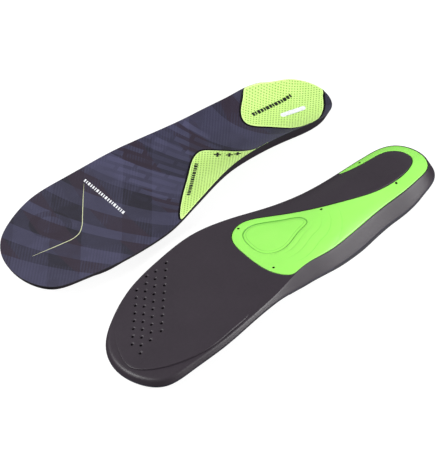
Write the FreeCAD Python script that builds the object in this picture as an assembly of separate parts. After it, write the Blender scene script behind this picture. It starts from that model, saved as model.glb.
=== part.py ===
import FreeCAD, Part
import math
import os

# A pair of contoured sports insoles.  The right one lies sole down.  The left one is turned
# over beside it, sole up, and stands on its rim and on its toe.  All sizes are millimetres.
#
# Each insole is modelled in its own frame: "across" grows towards the inner (medial) side of
# the foot, "along" grows from the back of the heel to the toe, and z = 0 is the floor.
# In the finished model +X is across, -Y is along and +Z is up.

# Driving dimensions
LENGTH = 272.0
COVER_THICKNESS = 0.7
CUSHION_THICKNESS = 1.5
PATCH_THICKNESS = 0.35
SHELL_THICKNESS = 1.6
CUSHION_INSET = 4.0
SHELL_INSET = 0.8
PATCH_INSET = 0.6

# How far the side wall leans out for each millimetre that it rises.  The wall starts at the
# floor, which leaves a flat face under the heel where the dished underside would pass below it.
WALL_LEAN = 0.44
WALL_FOOT = 0.0
WALL_HEAD = 34.0

# Plan of the rim: (along, half width on the inner side, half width on the outer side)
RIM_PLAN = (
    (8, 21.0, 19.0),
    (27, 27.5, 26.5),
    (54, 28.0, 29.0),
    (87, 29.0, 32.0),
    (122, 31.5, 40.5),
    (158, 37.0, 48.5),
    (190, 40.0, 48.0),
    (218, 41.0, 44.0),
    (242, 39.5, 34.0),
    (261, 35.5, 19.5),
)
HEEL_TIP_ACROSS = 3.0
TOE_TIP_ACROSS = 14.5

# Half widths of the dished surfaces, which stay wide at the toe where the plan rounds off
INNER_HALF = ((30, 27.5), (54, 28), (87, 29), (122, 31.5), (158, 37), (190, 40), (272, 40))
OUTER_HALF = ((30, 27), (54, 29), (87, 32), (122, 40.5), (158, 48.5), (190, 48), (272, 46))

# Heights along the insole: (along, height)
INNER_RIM = ((0, 11.5), (33, 15.5), (68, 21.5), (103, 22.5), (136, 14), (169, 6), (218, 9), (272, 15))
OUTER_RIM = ((0, 11.5), (33, 16), (68, 17.5), (103, 14), (136, 8.5), (169, 4.8), (218, 8.5), (272, 12))
INNER_EDGE = (
    (0, 4), (33, 4.5), (68, 9.3), (95, 11.2), (108, 10.3), (136, 3.1), (169, 1.5), (218, 4.6), (272, 10),
)
OUTER_EDGE = ((0, 4), (33, 4.5), (68, 5), (103, 4.5), (136, 1.5), (169, 0.8), (218, 4), (272, 7.5))
TOP_FLOOR = ((0, 6), (30, 5), (70, 5.5), (100, 7), (130, 6.5), (165, 5.2), (218, 8.5), (272, 13.5))
UNDER_FLOOR = (
    (0, 1), (20, -0.4), (40, -0.6), (70, -0.1), (100, 1.6), (130, 1.8), (168, 0.6), (218, 4), (272, 9),
)

# The heel is a rounded bowl about this point; the other two shape its plan and its section
HEEL_CENTRE = 30.0
HEEL_SQUARENESS = 2.4
DISH_POWER = 2.6

# Grid on which the dished surfaces are interpolated: start, stop and step
GRID_ACROSS = (-66, 60, 8)
GRID_ALONG = (-24, 301, 12)

# Height of the blocks that pieces are cut from, and how finely curved pieces are measured
CLEAR = 70.0
MEASURE_STEP = 0.1

# Forefoot wedge under the ball of the foot, thick on the inner side and thin on the outer side
WEDGE_THIN = 0.35
WEDGE_THICK = 1.1
WEDGE_RAMP_START = 182.0
WEDGE_RAMP_END = 208.0
WEDGE_OUTER = -22.0
WEDGE_INNER = 34.0
WEDGE_PLAN = (
    (34, 186), (38, 205), (38.5, 222), (33, 243), (25, 257), (12, 266.5), (-2, 263.5),
    (-20, 252), (-33, 236), (-38.3, 220), (-38.5, 209), (-41.8, 200), (-42.5, 190), (-26, 179), (6, 178),
)

# Ventilation holes through the foam, under the top cover: four slanted columns, each as
# (across of first hole, along of first hole, how many)
VENT_RADIUS = 0.9
VENT_STEP = 4.8
VENT_COLUMNS = ((-40, 191, 10), (-39.5, 200.5, 10), (-41, 207, 11), (-36.5, 219.5, 8))

# Plastic shell under the arch and round the heel
SHELL_PLAN = (
    (-19.5, 53), (-16, 45), (-13.5, 32), (-10.5, 18), (-3, 12.2), (5, 13), (12, 22), (14, 38),
    (10.5, 59), (0, 82), (-13, 101), (-26, 118), (-32.5, 133), (-27, 146.5), (-6, 153.5),
    (18, 154), (27, 150), (34, 138), (40, 100), (42, 40), (30, -6), (0, -16), (-28, -8), (-40, 30),
    (-34, 58),
)
SHELL_HOLE_RADIUS = 0.9
SHELL_HOLES = ((-29, 138), (16.5, 150), (-1.7, 89.8), (16, 38.7), (-18, 38.5))
TEAR_PLAN = (
    (-24, 139), (-26, 132), (-22, 122), (-14, 111), (-5, 102.5), (-1, 103), (2, 111),
    (6, 124), (7, 136), (1, 144.5), (-10, 145.5),
)
TEAR_GROOVE_SCALE = 0.94
TEAR_GROOVE_DEPTH = 0.35

# Mesh patches on the top cover
HEEL_PATCH_PLAN = (
    (-38, 38), (-27, 46), (-17, 57), (-11, 59), (2, 49.5), (14, 41), (22, 36), (25, 29), (22, 20),
    (13, 8.5), (4, 0), (-2, -14), (-30, -6), (-42, 16),
)
ARCH_PATCH_PLAN = (
    (-5.5, 109), (-7, 102.5), (-3, 96), (5, 87.5), (14, 80), (26, 77), (42, 80), (46, 110),
    (50, 150), (44, 158), (36, 156.5), (29, 151), (18, 139), (4, 122),
)

# The turned-over left insole: turns in degrees, and its place beside the right one
LEFT_ROLL = -6.3
LEFT_PITCH = 2.0
LEFT_YAW = 1.7
LEFT_ACROSS = 100.5
LEFT_BACK = 0.0


def point(across, along, height=0.0):
    """A point of the insole's own frame in model axes."""
    return FreeCAD.Vector(across, LENGTH / 2 - along, height)


def on_profile(profile, along):
    """Smooth value at a place along the insole, from (along, value) pairs."""
    if along <= profile[0][0]:
        return profile[0][1]
    if along >= profile[-1][0]:
        return profile[-1][1]
    last = len(profile) - 1
    right = next(index for index, row in enumerate(profile) if row[0] >= along)
    x0, y0 = profile[right - 1]
    x1, y1 = profile[right]
    x_before, y_before = profile[max(right - 2, 0)]
    x_after, y_after = profile[min(right + 1, last)]
    slope0 = (y1 - y_before) / (x1 - x_before)
    slope1 = (y_after - y0) / (x_after - x0)
    span = x1 - x0
    t = (along - x0) / span
    value = y0 * (1 + 2 * t) * (1 - t) ** 2 + y1 * t * t * (3 - 2 * t)
    return value + span * (slope0 * t * (1 - t) ** 2 - slope1 * t * t * (1 - t))


def half_width(across, along):
    """Half width of the dish on the side that the point is on."""
    return on_profile(INNER_HALF if across >= 0 else OUTER_HALF, along)


def inner_share(across, along):
    """0 at the outer rim, 1 at the inner rim, smooth between them."""
    share = (across / half_width(across, along) + 1) / 2
    share = min(max(share, 0), 1)
    return share * share * (3 - 2 * share)


def blend_sides(inner, outer, across, along):
    """Value between an inner-side and an outer-side profile."""
    share = inner_share(across, along)
    return on_profile(inner, along) * share + on_profile(outer, along) * (1 - share)


def reach(across, along, inset):
    """0 on the middle line, 1 on the rim moved in by the inset, rounded behind the heel."""
    sideways = abs(across) / (half_width(across, along) - inset)
    backward = max(HEEL_CENTRE - along, 0) / (HEEL_CENTRE - inset)
    return (sideways ** HEEL_SQUARENESS + backward ** HEEL_SQUARENESS) ** (1 / HEEL_SQUARENESS)


def dish(share):
    """Rise of a dished section: flat in the middle, steep at the rim, straight beyond it."""
    if share < 1:
        return share ** DISH_POWER
    return 1 + DISH_POWER * (share - 1)


def top_height(across, along):
    """Height of the face that the foot stands on."""
    floor = on_profile(TOP_FLOOR, along)
    rim = blend_sides(INNER_RIM, OUTER_RIM, across, along)
    return floor + (rim - floor) * dish(reach(across, along, 0))


def under_height(across, along):
    """Height of the underside of the foam base."""
    floor = on_profile(UNDER_FLOOR, along)
    rim = blend_sides(INNER_RIM, OUTER_RIM, across, along)
    edge = blend_sides(INNER_EDGE, OUTER_EDGE, across, along)
    inset = WALL_LEAN * (rim - edge)
    return floor + (edge - floor) * dish(reach(across, along, inset))


def ramp(value, start, end):
    """0 before start, 1 after end, straight between them."""
    return min(max((value - start) / (end - start), 0), 1)


def wedge_height(across, along):
    """Height of the bottom of the forefoot wedge."""
    share = ramp(across, WEDGE_OUTER, WEDGE_INNER) * ramp(along, WEDGE_RAMP_START, WEDGE_RAMP_END)
    return under_height(across, along) - WEDGE_THIN - (WEDGE_THICK - WEDGE_THIN) * share


def height_face(height):
    """Smooth face through a grid of heights."""
    rows = []
    for along in range(*GRID_ALONG):
        rows.append([point(across, along, height(across, along)) for across in range(*GRID_ACROSS)])
    surface = Part.BSplineSurface()
    surface.interpolate(rows)
    return surface.toShape()


def raised(face, height):
    """The same face, moved up."""
    copy = face.copy()
    copy.translate(FreeCAD.Vector(0, 0, height))
    return copy


def between(block, lower, upper):
    """The part of a block that lies above one face and below another."""
    above = upper.extrude(FreeCAD.Vector(0, 0, CLEAR))
    below = lower.extrude(FreeCAD.Vector(0, 0, -CLEAR))
    return block.cut(above).cut(below)


def rim_points():
    """Plan points of the rim, once round the insole, as (across, along)."""
    inner = [(half, along) for along, half, other in RIM_PLAN]
    outer = [(-half, along) for along, other, half in reversed(RIM_PLAN)]
    return [(HEEL_TIP_ACROSS, 0)] + inner + [(TOE_TIP_ACROSS, LENGTH)] + outer


def closed_spline(points):
    """Wire of one smooth closed curve through the points."""
    curve = Part.BSplineCurve()
    curve.interpolate(Points=points, PeriodicFlag=True)
    return Part.Wire(curve.toShape())


def wall_wire(height, inset):
    """Section of the leaning side wall at a height, moved in by an inset."""
    plan = rim_points()
    count = len(plan)
    section = []
    for index, (across, along) in enumerate(plan):
        before = plan[index - 1]
        after = plan[(index + 1) % count]
        step_across = after[0] - before[0]
        step_along = after[1] - before[1]
        size = math.hypot(step_across, step_along)
        rim = blend_sides(INNER_RIM, OUTER_RIM, across, along)
        shift = inset + (rim - height) * WALL_LEAN
        section.append(point(across - shift * step_along / size, along + shift * step_across / size, height))
    return closed_spline(section)


def wall_block(inset=0.0):
    """Solid inside the leaning side wall, taller than the insole at both ends."""
    return Part.makeLoft([wall_wire(WALL_FOOT, inset), wall_wire(WALL_HEAD, inset)], True, True)


def prism(plan):
    """Tall upright block with a smooth closed plan, standing on the floor."""
    wire = closed_spline([point(across, along) for across, along in plan])
    return Part.Face(wire).extrude(FreeCAD.Vector(0, 0, CLEAR))


def pins(places, radius):
    """Tall upright cylinders for cutting holes."""
    return Part.makeCompound([Part.makeCylinder(radius, CLEAR, point(*place)) for place in places])


def vent_places():
    """Centres of the ventilation holes."""
    places = []
    for across, along, count in VENT_COLUMNS:
        places += [(across + VENT_STEP * step, along + VENT_STEP * step) for step in range(count)]
    return places


def scaled_about_middle(plan, scale):
    """The same plan, smaller about its own middle."""
    middle_across = sum(across for across, along in plan) / len(plan)
    middle_along = sum(along for across, along in plan) / len(plan)
    scaled = []
    for across, along in plan:
        scaled.append((middle_across + (across - middle_across) * scale,
                       middle_along + (along - middle_along) * scale))
    return scaled


def make_shell(under):
    """Arch shell, returned as its blank, which the foam is recessed for, and as the finished piece."""
    block = wall_block(SHELL_INSET).common(prism(SHELL_PLAN))
    blank = between(block, under, raised(under, SHELL_THICKNESS))
    groove = prism(TEAR_PLAN).cut(prism(scaled_about_middle(TEAR_PLAN, TEAR_GROOVE_SCALE)))
    groove = between(groove, raised(under, -1), raised(under, TEAR_GROOVE_DEPTH))
    return blank, blank.cut(groove).cut(pins(SHELL_HOLES, SHELL_HOLE_RADIUS))


def make_patch(plan, top):
    """Thin mesh patch bonded to the top cover."""
    block = wall_block(PATCH_INSET).common(prism(plan))
    return between(block, top, raised(top, PATCH_THICKNESS))


def make_insole():
    """All pieces of the right insole, sole down, by name."""
    top = height_face(top_height)
    under = height_face(under_height)
    wall = wall_block()
    vents = pins(vent_places(), VENT_RADIUS)
    cover_bottom = raised(top, -COVER_THICKNESS)
    cushion_bottom = raised(top, -COVER_THICKNESS - CUSHION_THICKNESS)
    cover = between(wall, cover_bottom, top)
    cushion = between(wall_block(CUSHION_INSET), cushion_bottom, cover_bottom)
    shell_blank, shell = make_shell(under)
    base = between(wall, under, cover_bottom).cut(cushion).cut(shell_blank)
    wedge = between(prism(WEDGE_PLAN), height_face(wedge_height), under)
    return {
        "top_cover": cover,
        "heel_patch": make_patch(HEEL_PATCH_PLAN, top),
        "arch_patch": make_patch(ARCH_PATCH_PLAN, top),
        "cushion_layer": cushion.cut(vents),
        "foam_base": base.cut(vents),
        "arch_shell": shell,
        "forefoot_wedge": wedge.cut(vents),
    }


def turned_over(shape):
    """The same piece of the left insole, sole up, turned to stand on its rim and toe."""
    origin = FreeCAD.Vector(0, 0, 0)
    left = shape.mirror(origin, FreeCAD.Vector(0, 0, 1))
    left.rotate(origin, FreeCAD.Vector(0, 1, 0), LEFT_ROLL)
    left.rotate(origin, FreeCAD.Vector(1, 0, 0), LEFT_PITCH)
    left.rotate(origin, FreeCAD.Vector(0, 0, 1), LEFT_YAW)
    left.translate(FreeCAD.Vector(LEFT_ACROSS, LEFT_BACK, 0))
    return left


def box_of(shapes):
    """Closely fitting box round some pieces, measured on their surfaces."""
    box = FreeCAD.BoundBox()
    for shape in shapes:
        for corner in shape.tessellate(MEASURE_STEP)[0]:
            box.add(corner)
    return box


def make_pair():
    """Both insoles, with the origin centred under the pair."""
    right = make_insole()
    left = {name: turned_over(shape) for name, shape in right.items()}
    lowest = box_of([left["top_cover"]]).ZMin
    pair = {"right_" + name: shape for name, shape in right.items()}
    pair.update({"left_" + name: raised(shape, -lowest) for name, shape in left.items()})
    middle = box_of([pair["right_top_cover"], pair["left_top_cover"]]).Center
    for shape in pair.values():
        shape.translate(FreeCAD.Vector(-middle.x, -middle.y, 0))
    return pair


os.makedirs("parts", exist_ok=True)
for name, shape in make_pair().items():
    print(name, shape.ShapeType, len(shape.Solids), "solid", round(shape.Volume), "mm3", shape.isValid())
    shape.exportStep("parts/" + name + ".step")
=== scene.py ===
import bmesh
import bpy
import math
import numpy as np
from mathutils import Matrix, Vector
from mathutils.geometry import delaunay_2d_cdt


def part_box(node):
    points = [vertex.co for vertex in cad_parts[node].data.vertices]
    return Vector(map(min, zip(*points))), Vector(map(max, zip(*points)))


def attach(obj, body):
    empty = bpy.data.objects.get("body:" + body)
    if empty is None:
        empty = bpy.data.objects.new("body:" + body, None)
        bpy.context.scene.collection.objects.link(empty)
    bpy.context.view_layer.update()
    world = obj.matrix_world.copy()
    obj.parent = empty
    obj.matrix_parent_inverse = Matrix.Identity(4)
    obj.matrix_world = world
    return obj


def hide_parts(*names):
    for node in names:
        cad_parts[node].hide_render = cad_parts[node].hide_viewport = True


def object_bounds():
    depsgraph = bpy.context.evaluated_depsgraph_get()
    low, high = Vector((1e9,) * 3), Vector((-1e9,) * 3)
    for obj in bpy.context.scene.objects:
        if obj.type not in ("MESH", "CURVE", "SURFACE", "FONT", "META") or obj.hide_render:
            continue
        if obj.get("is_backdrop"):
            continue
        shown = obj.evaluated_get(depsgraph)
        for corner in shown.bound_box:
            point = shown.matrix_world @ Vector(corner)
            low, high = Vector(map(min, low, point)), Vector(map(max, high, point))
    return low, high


# A pair of contoured sports insoles: the right one sole down, the left one turned over, sole up.
# Every piece is built in the insole's own frame, as (across, along, height) in metres: across
# grows to the inner side of the foot and along grows from the back of the heel to the toe.
# The pieces are then put where the CAD frame has them.

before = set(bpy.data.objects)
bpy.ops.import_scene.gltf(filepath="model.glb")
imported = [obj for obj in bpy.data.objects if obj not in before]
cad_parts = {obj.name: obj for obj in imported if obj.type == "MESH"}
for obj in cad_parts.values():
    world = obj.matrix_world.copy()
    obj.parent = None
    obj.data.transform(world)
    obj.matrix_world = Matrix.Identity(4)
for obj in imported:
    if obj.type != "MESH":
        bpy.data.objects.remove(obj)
cad_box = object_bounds()

# ---------------------------------------------------------------- shape
# As in the CAD part, apart from the rear of the arch patch and the thin edges of the wedge.

LENGTH = 0.272
COVER = 0.0007
CUSHION = 0.0015
PATCH = 0.00035
SHELL = 0.0016
WALL_LEAN = 0.44

# Plan of the rim: (along, half width on the inner side, half width on the outer side)
RIM_PLAN = (
    (0.008, 0.021, 0.019), (0.027, 0.0275, 0.0265), (0.054, 0.028, 0.029), (0.087, 0.029, 0.032),
    (0.122, 0.0315, 0.0405), (0.158, 0.037, 0.0485), (0.19, 0.04, 0.048), (0.218, 0.041, 0.044),
    (0.242, 0.0395, 0.034), (0.261, 0.0355, 0.0195),
)
HEEL_TIP = (0.003, 0)
TOE_TIP = (0.0145, LENGTH)

# Half widths of the dished faces, which stay wide at the toe: (along, half width)
WAIST = RIM_PLAN[2:7]
INNER_HALF = ((0.03, 0.0275), *[(along, inner) for along, inner, outer in WAIST], (LENGTH, 0.04))
OUTER_HALF = ((0.03, 0.027), *[(along, outer) for along, inner, outer in WAIST], (LENGTH, 0.046))

# Heights: (along, height)
INNER_RIM = (
    (0, 0.0115), (0.033, 0.0155), (0.068, 0.0215), (0.103, 0.0225), (0.136, 0.014), (0.169, 0.006),
    (0.218, 0.009), (0.272, 0.015),
)
OUTER_RIM = (
    (0, 0.0115), (0.033, 0.016), (0.068, 0.0175), (0.103, 0.014), (0.136, 0.0085), (0.169, 0.0048),
    (0.218, 0.0085), (0.272, 0.012),
)
INNER_EDGE = (
    (0, 0.004), (0.033, 0.0045), (0.068, 0.0093), (0.095, 0.0112), (0.108, 0.0103), (0.136, 0.0031),
    (0.169, 0.0015), (0.218, 0.0046), (0.272, 0.01),
)
OUTER_EDGE = (
    (0, 0.004), (0.033, 0.0045), (0.068, 0.005), (0.103, 0.0045), (0.136, 0.0015), (0.169, 0.0008),
    (0.218, 0.004), (0.272, 0.0075),
)
TOP_FLOOR = (
    (0, 0.006), (0.03, 0.005), (0.07, 0.0055), (0.1, 0.007), (0.13, 0.0065), (0.165, 0.0052),
    (0.218, 0.0085), (0.272, 0.0135),
)
UNDER_FLOOR = (
    (0, 0.001), (0.02, -0.0004), (0.04, -0.0006), (0.07, -0.0001), (0.1, 0.0016), (0.13, 0.0018),
    (0.168, 0.0006), (0.218, 0.004), (0.272, 0.009),
)

HEEL_CENTRE = 0.03
HEEL_SQUARENESS = 2.4
DISH_POWER = 2.6

# Outlines: (across, along)
WEDGE_PLAN = (
    (0.034, 0.186), (0.038, 0.205), (0.0385, 0.222), (0.033, 0.243), (0.025, 0.257), (0.012, 0.2665),
    (-0.002, 0.2635), (-0.02, 0.252), (-0.033, 0.236), (-0.0383, 0.22), (-0.0385, 0.209),
    (-0.0418, 0.2), (-0.0425, 0.19), (-0.026, 0.179), (0.006, 0.178),
)
SHELL_PLAN = (
    (-0.0195, 0.053), (-0.016, 0.045), (-0.0135, 0.032), (-0.0105, 0.018), (-0.003, 0.0122),
    (0.005, 0.013), (0.012, 0.022), (0.014, 0.038), (0.0105, 0.059), (0, 0.082), (-0.013, 0.101),
    (-0.026, 0.118), (-0.0325, 0.133), (-0.027, 0.1465), (-0.006, 0.1535), (0.018, 0.154),
    (0.027, 0.15), (0.034, 0.138), (0.04, 0.1), (0.042, 0.04), (0.03, -0.006), (0, -0.016),
    (-0.028, -0.008), (-0.04, 0.03), (-0.034, 0.058),
)
TEAR_PLAN = (
    (-0.024, 0.139), (-0.026, 0.132), (-0.022, 0.122), (-0.014, 0.111), (-0.005, 0.1025),
    (-0.001, 0.103), (0.002, 0.111), (0.006, 0.124), (0.007, 0.136), (0.001, 0.1445), (-0.01, 0.1455),
)
HEEL_PATCH_PLAN = (
    (-0.038, 0.038), (-0.027, 0.046), (-0.017, 0.057), (-0.011, 0.059), (0.002, 0.0495),
    (0.014, 0.041), (0.022, 0.036), (0.025, 0.029), (0.022, 0.02), (0.013, 0.0085), (0.004, 0),
    (-0.002, -0.014), (-0.03, -0.006), (-0.042, 0.016),
)
# This patch ends nearer to the heel than the CAD part's does
ARCH_PATCH_PLAN = (
    (-0.0055, 0.109), (-0.007, 0.1025), (-0.003, 0.096), (0.005, 0.0875), (0.014, 0.08),
    (0.0262, 0.0722), (0.042, 0.068), (0.046, 0.11), (0.05, 0.15), (0.044, 0.158), (0.036, 0.1565),
    (0.029, 0.151), (0.018, 0.139), (0.004, 0.122),
)
SHELL_HOLES = ((-0.029, 0.138), (0.0165, 0.15), (-0.0017, 0.0898), (0.016, 0.0387), (-0.018, 0.0385))
SHELL_HOLE_RADIUS = 0.0009

# Forefoot wedge: it feathers out to the outer side and to the rear, thinner than in the CAD part
WEDGE_FEATHER = 0.00003
WEDGE_THICK = 0.0011
WEDGE_RAMP_ACROSS = (-0.022, 0.034)
WEDGE_RAMP_ALONG = (0.182, 0.208)

# Ventilation holes through the foam, under the top cover: four slanted columns, each as
# (across of first hole, along of first hole, how many)
VENT_RADIUS = 0.0009
VENT_STEP = 0.0048
VENT_COLUMNS = ((-0.04, 0.191, 10), (-0.0395, 0.2005, 10), (-0.041, 0.207, 11), (-0.0365, 0.2195, 8))
VENT_CLEARANCE = 0.0005

# Turns that put the left insole sole up: roll, pitch and yaw in degrees
LEFT_TURNS = (-6.3, 2.0, 1.7)

# ---------------------------------------------------------------- fine shape: edges, gaps and grooves

# How far inside the side wall pieces end
CUSHION_INSET = 0.0028
SHELL_INSET = 0.0004
PATCH_INSET = 0.00015
VENT_DIMPLE_RADIUS = 0.0019
VENT_DIMPLE_DEPTH = 0.0004
VENT_DIMPLE_RINGS = (0.6, 0.75, 0.9, 1.05)
# Spacing of points on the rim, on outlines and on faces, and how they are put together
RIM_STEP = 0.001
OUTLINE_STEP = 0.0008
GRID = 0.002
GRID_CLEARANCE = 0.45
ROW_CLEARANCE = 0.9
HOLE_SIDES = 14
MEETING_STEPS = 30
POINTS_AT_A_TIME = 200
WELD = 0.000002
SHARP_ANGLE = math.radians(38)
GLUE = 0.00002
# Radii of rounded edges, and the gap round the shell: (at the edge of the sole, elsewhere)
COVER_ROUND = 0.0003
SOLE_EDGE_REACH = 0.002
SOLE_ROUND = ((0.15, 0.0001), (0.19, 0.0011), (0.272, 0.0018))
TOP_ROUND = 0.0003
SHELL_GAP = (0.0003, 0.00055)
SHELL_ROUND = 0.0005
SHELL_CORNERS = 24
RECESS_ROUND = 0.0002
PATCH_ROUND = 0.00025
PATCH_CORNERS = 4
BORDER_WIDTH = 0.0013
BORDER_LEAST = 0.0001
BORDER_THICKNESS = 0.00012
WEDGE_ROUND = 0.0005
WEDGE_WORN = 0.9
TEAR_WIDTH = 0.0024
TEAR_DEPTH = 0.0007
# Faint flow grooves of the shell, on the inner side of the drop: (distance from the drop, depth)
FLOW_GROOVES = ((0.0038, 0.0004), (0.009, 0.00028), (0.015, 0.00024), (0.022, 0.0002))
FLOW_WIDTH = 0.0011
# They fade in with the place across, and fade out with the place along
FLOW_ACROSS = (0.002, 0.013)
FLOW_ALONG = (0.14, 0.123)
FLOW_CLEARANCE = 0.0012
# How dark the painted shade in the shell's grooves is: per metre of depth, then at the foot of the drop's
# groove
FLOW_SHADE = 900
CREASE_SHADE = 0.45
GROOVE_SHADE = 0.8
ROUND_STEPS = 4
ROUND_START = 0.03

# ---------------------------------------------------------------- print, as (across, along)

INK = 0.00004
LINE_WIDTH = 0.00042
LINE_PLAN = (
    (-0.0346, 0.1804), (-0.0213, 0.1919), (-0.0092, 0.2021), (-0.0021, 0.2082), (0.0028, 0.2144),
    (0.0046, 0.221), (0.0044, 0.229), (0.0039, 0.2373), (0.0029, 0.2527),
)
# Rows of bars: start, end, lengths, gap, height and slant
COVER_BARS = ((-0.0375, 0.1776), (0.0053, 0.1787), (0.0012, 0.0008, 0.0017, 0.001), 0.0011, 0.0025, 0.4)
HEEL_BARS = ((-0.0127, 0.0505), (-0.0102, 0.0177), (0.0019, 0.0013, 0.0024), 0.0006, 0.0028, 0.0)
ARCH_BARS = ((0.022, 0.138), (0.001, 0.113), (0.0016, 0.0022, 0.0012), 0.0006, 0.0023, 0.0)
HEEL_PILL = ((-0.0002, 0.0335), (0.0042, 0.0195), 0.004)
CROSSES = ((0.003, 0.096), (0.0087, 0.0904), (0.012, 0.086))
CROSS_ARM = 0.0024
CROSS_WIDTH = 0.0014
# Tones of the two crossing families of bands: (where a band starts, tone)
PRINT_SWEEP = (
    (-0.03, 0.5), (0, 0.2), (0.018, 0.6), (0.042, 0.3), (0.06, 0.75), (0.084, 0.25), (0.102, 0.55),
    (0.112, 0.1), (0.131, 0.85), (0.149, 0.5), (0.156, 0.1), (0.172, 0.6), (0.187, 0.15), (0.203, 0.75),
    (0.213, 0.15), (0.23, 0.7), (0.246, 0.15), (0.261, 0.65), (0.29, 0.4),
)
PRINT_CROSS = (
    (-0.06, 0.5), (0.08, 0.2), (0.118, 0.75), (0.15, 0.25), (0.176, 0.8), (0.21, 0.2), (0.236, 0.65),
    (0.268, 0.3), (0.32, 0.5),
)
# The families' slants, and how much the sweeping one bows
SWEEP_SLANT = 0.55
CROSS_SLANT = -0.85
PRINT_BOW = 4.0
# What each part of the print adds to its tone
SWEEP_TONE = 0.62
CROSS_TONE = 0.36
STROKE_TONE = 0.4
RING_TONE = -0.22
RIB_TONE = 0.16
CLOUD_TONE = 0.22
BASE_TONE = -0.2
PRINT_RING = ((-0.015, 0.224), 0.0085, 0.014)
PRINT_SOFT = 0.0004
PRINT_WARMTH = 0.083
# Blocks of the print: length, spacing and gap, then their slanted axes and where they fade in and out
STROKE = (0.023, 0.0066, 0.0016)
STROKE_AHEAD = (0.92, -0.4)
STROKE_UP = (0.4, 0.92)
STROKE_ZONE = (0.085, 0.094, 0.15, 0.165)
KNIT_RIB = 0.0019
KNIT_STITCH = 0.0007
KNIT_DEPTH = 0.00012
DIAGONAL = 0.7071
MESH_SPACING = 0.0019
MESH_HOLE = 0.0005
MESH_MARGIN = (0.0006, 0.001)

# ---------------------------------------------------------------- studio

FLOOR_SIZE = 20.0
WALL_RADIUS = 8.0
WALL_HEIGHT = 6.0
FLOOR_GAP = 0.0002
FLOOR_COLOUR = (0.25, 0.25, 0.25, 1)
FLOOR_GLOW = 0.86
WALL_GLOW = 1.0
WORLD_STRENGTH = 0.4
WORLD_BELOW = 0.15
HORIZON = 0.05
# name, azimuth, elevation, distance, size, watts
LAMPS = (
    ("key", 128, 20, 1.5, 0.7, 28),
    ("fill", 325, 35, 1.5, 1.0, 27),
)
CAMERA_AZIMUTH = 48.75
CAMERA_ELEVATION = 42.72
CAMERA_DISTANCE = 1.6015
CAMERA_LENS = 188.74
CAMERA_SENSOR = 36.0
CAMERA_SHIFT = (0.0012, -0.0224)


def on_profile(profile, along):
    """Smooth values at places along the insole, from (along, value) pairs."""
    rows = np.array(profile, float)
    wide = np.pad(rows, ((1, 1), (0, 0)), mode="edge")
    slopes = (wide[2:, 1] - wide[:-2, 1]) / (wide[2:, 0] - wide[:-2, 0])
    knots, values = rows.T
    place = np.clip(along, knots[0], knots[-1])
    left = np.clip(np.searchsorted(knots, place) - 1, 0, len(knots) - 2)
    span = knots[left + 1] - knots[left]
    t = (place - knots[left]) / span
    value = values[left] * (1 + 2 * t) * (1 - t) ** 2 + values[left + 1] * t * t * (3 - 2 * t)
    return value + span * (slopes[left] * t * (1 - t) ** 2 - slopes[left + 1] * t * t * (1 - t))


def smooth_step(value, start, end):
    """0 before start, 1 after end, smooth between them."""
    share = np.clip((value - start) / (end - start), 0, 1)
    return share * share * (3 - 2 * share)


def half_width(plan):
    """Half width of the dish on the side that each point is on."""
    across, along = plan.T
    return np.where(across >= 0, on_profile(INNER_HALF, along), on_profile(OUTER_HALF, along))


def blend_sides(inner, outer, plan):
    """Values between an inner-side and an outer-side profile."""
    share = smooth_step(plan[:, 0] / half_width(plan), -1, 1)
    return on_profile(inner, plan[:, 1]) * share + on_profile(outer, plan[:, 1]) * (1 - share)


def dished(plan, inset, floor, rim):
    """Height of a dished face: flat in the middle, steep at the rim, rounded behind the heel."""
    across, along = plan.T
    sideways = np.abs(across) / (half_width(plan) - inset)
    backward = np.maximum(HEEL_CENTRE - along, 0) / (HEEL_CENTRE - inset)
    reach = (sideways ** HEEL_SQUARENESS + backward ** HEEL_SQUARENESS) ** (1 / HEEL_SQUARENESS)
    rise = np.where(reach < 1, reach ** DISH_POWER, 1 + DISH_POWER * (reach - 1))
    return floor + (rim - floor) * rise


def top_height(plan):
    """Height of the face that the foot stands on."""
    return dished(plan, 0, on_profile(TOP_FLOOR, plan[:, 1]), blend_sides(INNER_RIM, OUTER_RIM, plan))


def under_height(plan):
    """Height of the underside of the foam base, which is flat where it stands on its heel."""
    rim = blend_sides(INNER_RIM, OUTER_RIM, plan)
    edge = blend_sides(INNER_EDGE, OUTER_EDGE, plan)
    floor = on_profile(UNDER_FLOOR, plan[:, 1])
    return np.maximum(dished(plan, WALL_LEAN * (rim - edge), floor, edge), 0)


def shifted(height, rise):
    """The same height function, moved up."""
    return lambda plan: height(plan) + rise


# ---------------------------------------------------------------- closed outlines

def turning_left(loop):
    """The same closed outline, in the order that has its inside on the left."""
    ahead = np.roll(loop, -1, axis=0)
    area = (loop[:, 0] * ahead[:, 1] - ahead[:, 0] * loop[:, 1]).sum()
    return loop if area > 0 else loop[::-1]


def evenly(loop, step):
    """A closed outline with evenly spaced points."""
    closed = np.vstack([loop, loop[:1]])
    steps = np.linalg.norm(np.diff(closed[:, :2], axis=0), axis=1)
    run = np.concatenate([[0], np.cumsum(steps)])
    places = np.linspace(0, run[-1], max(round(run[-1] / step), 12), endpoint=False)
    return np.column_stack([np.interp(places, run, closed[:, k]) for k in range(closed.shape[1])])


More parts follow.
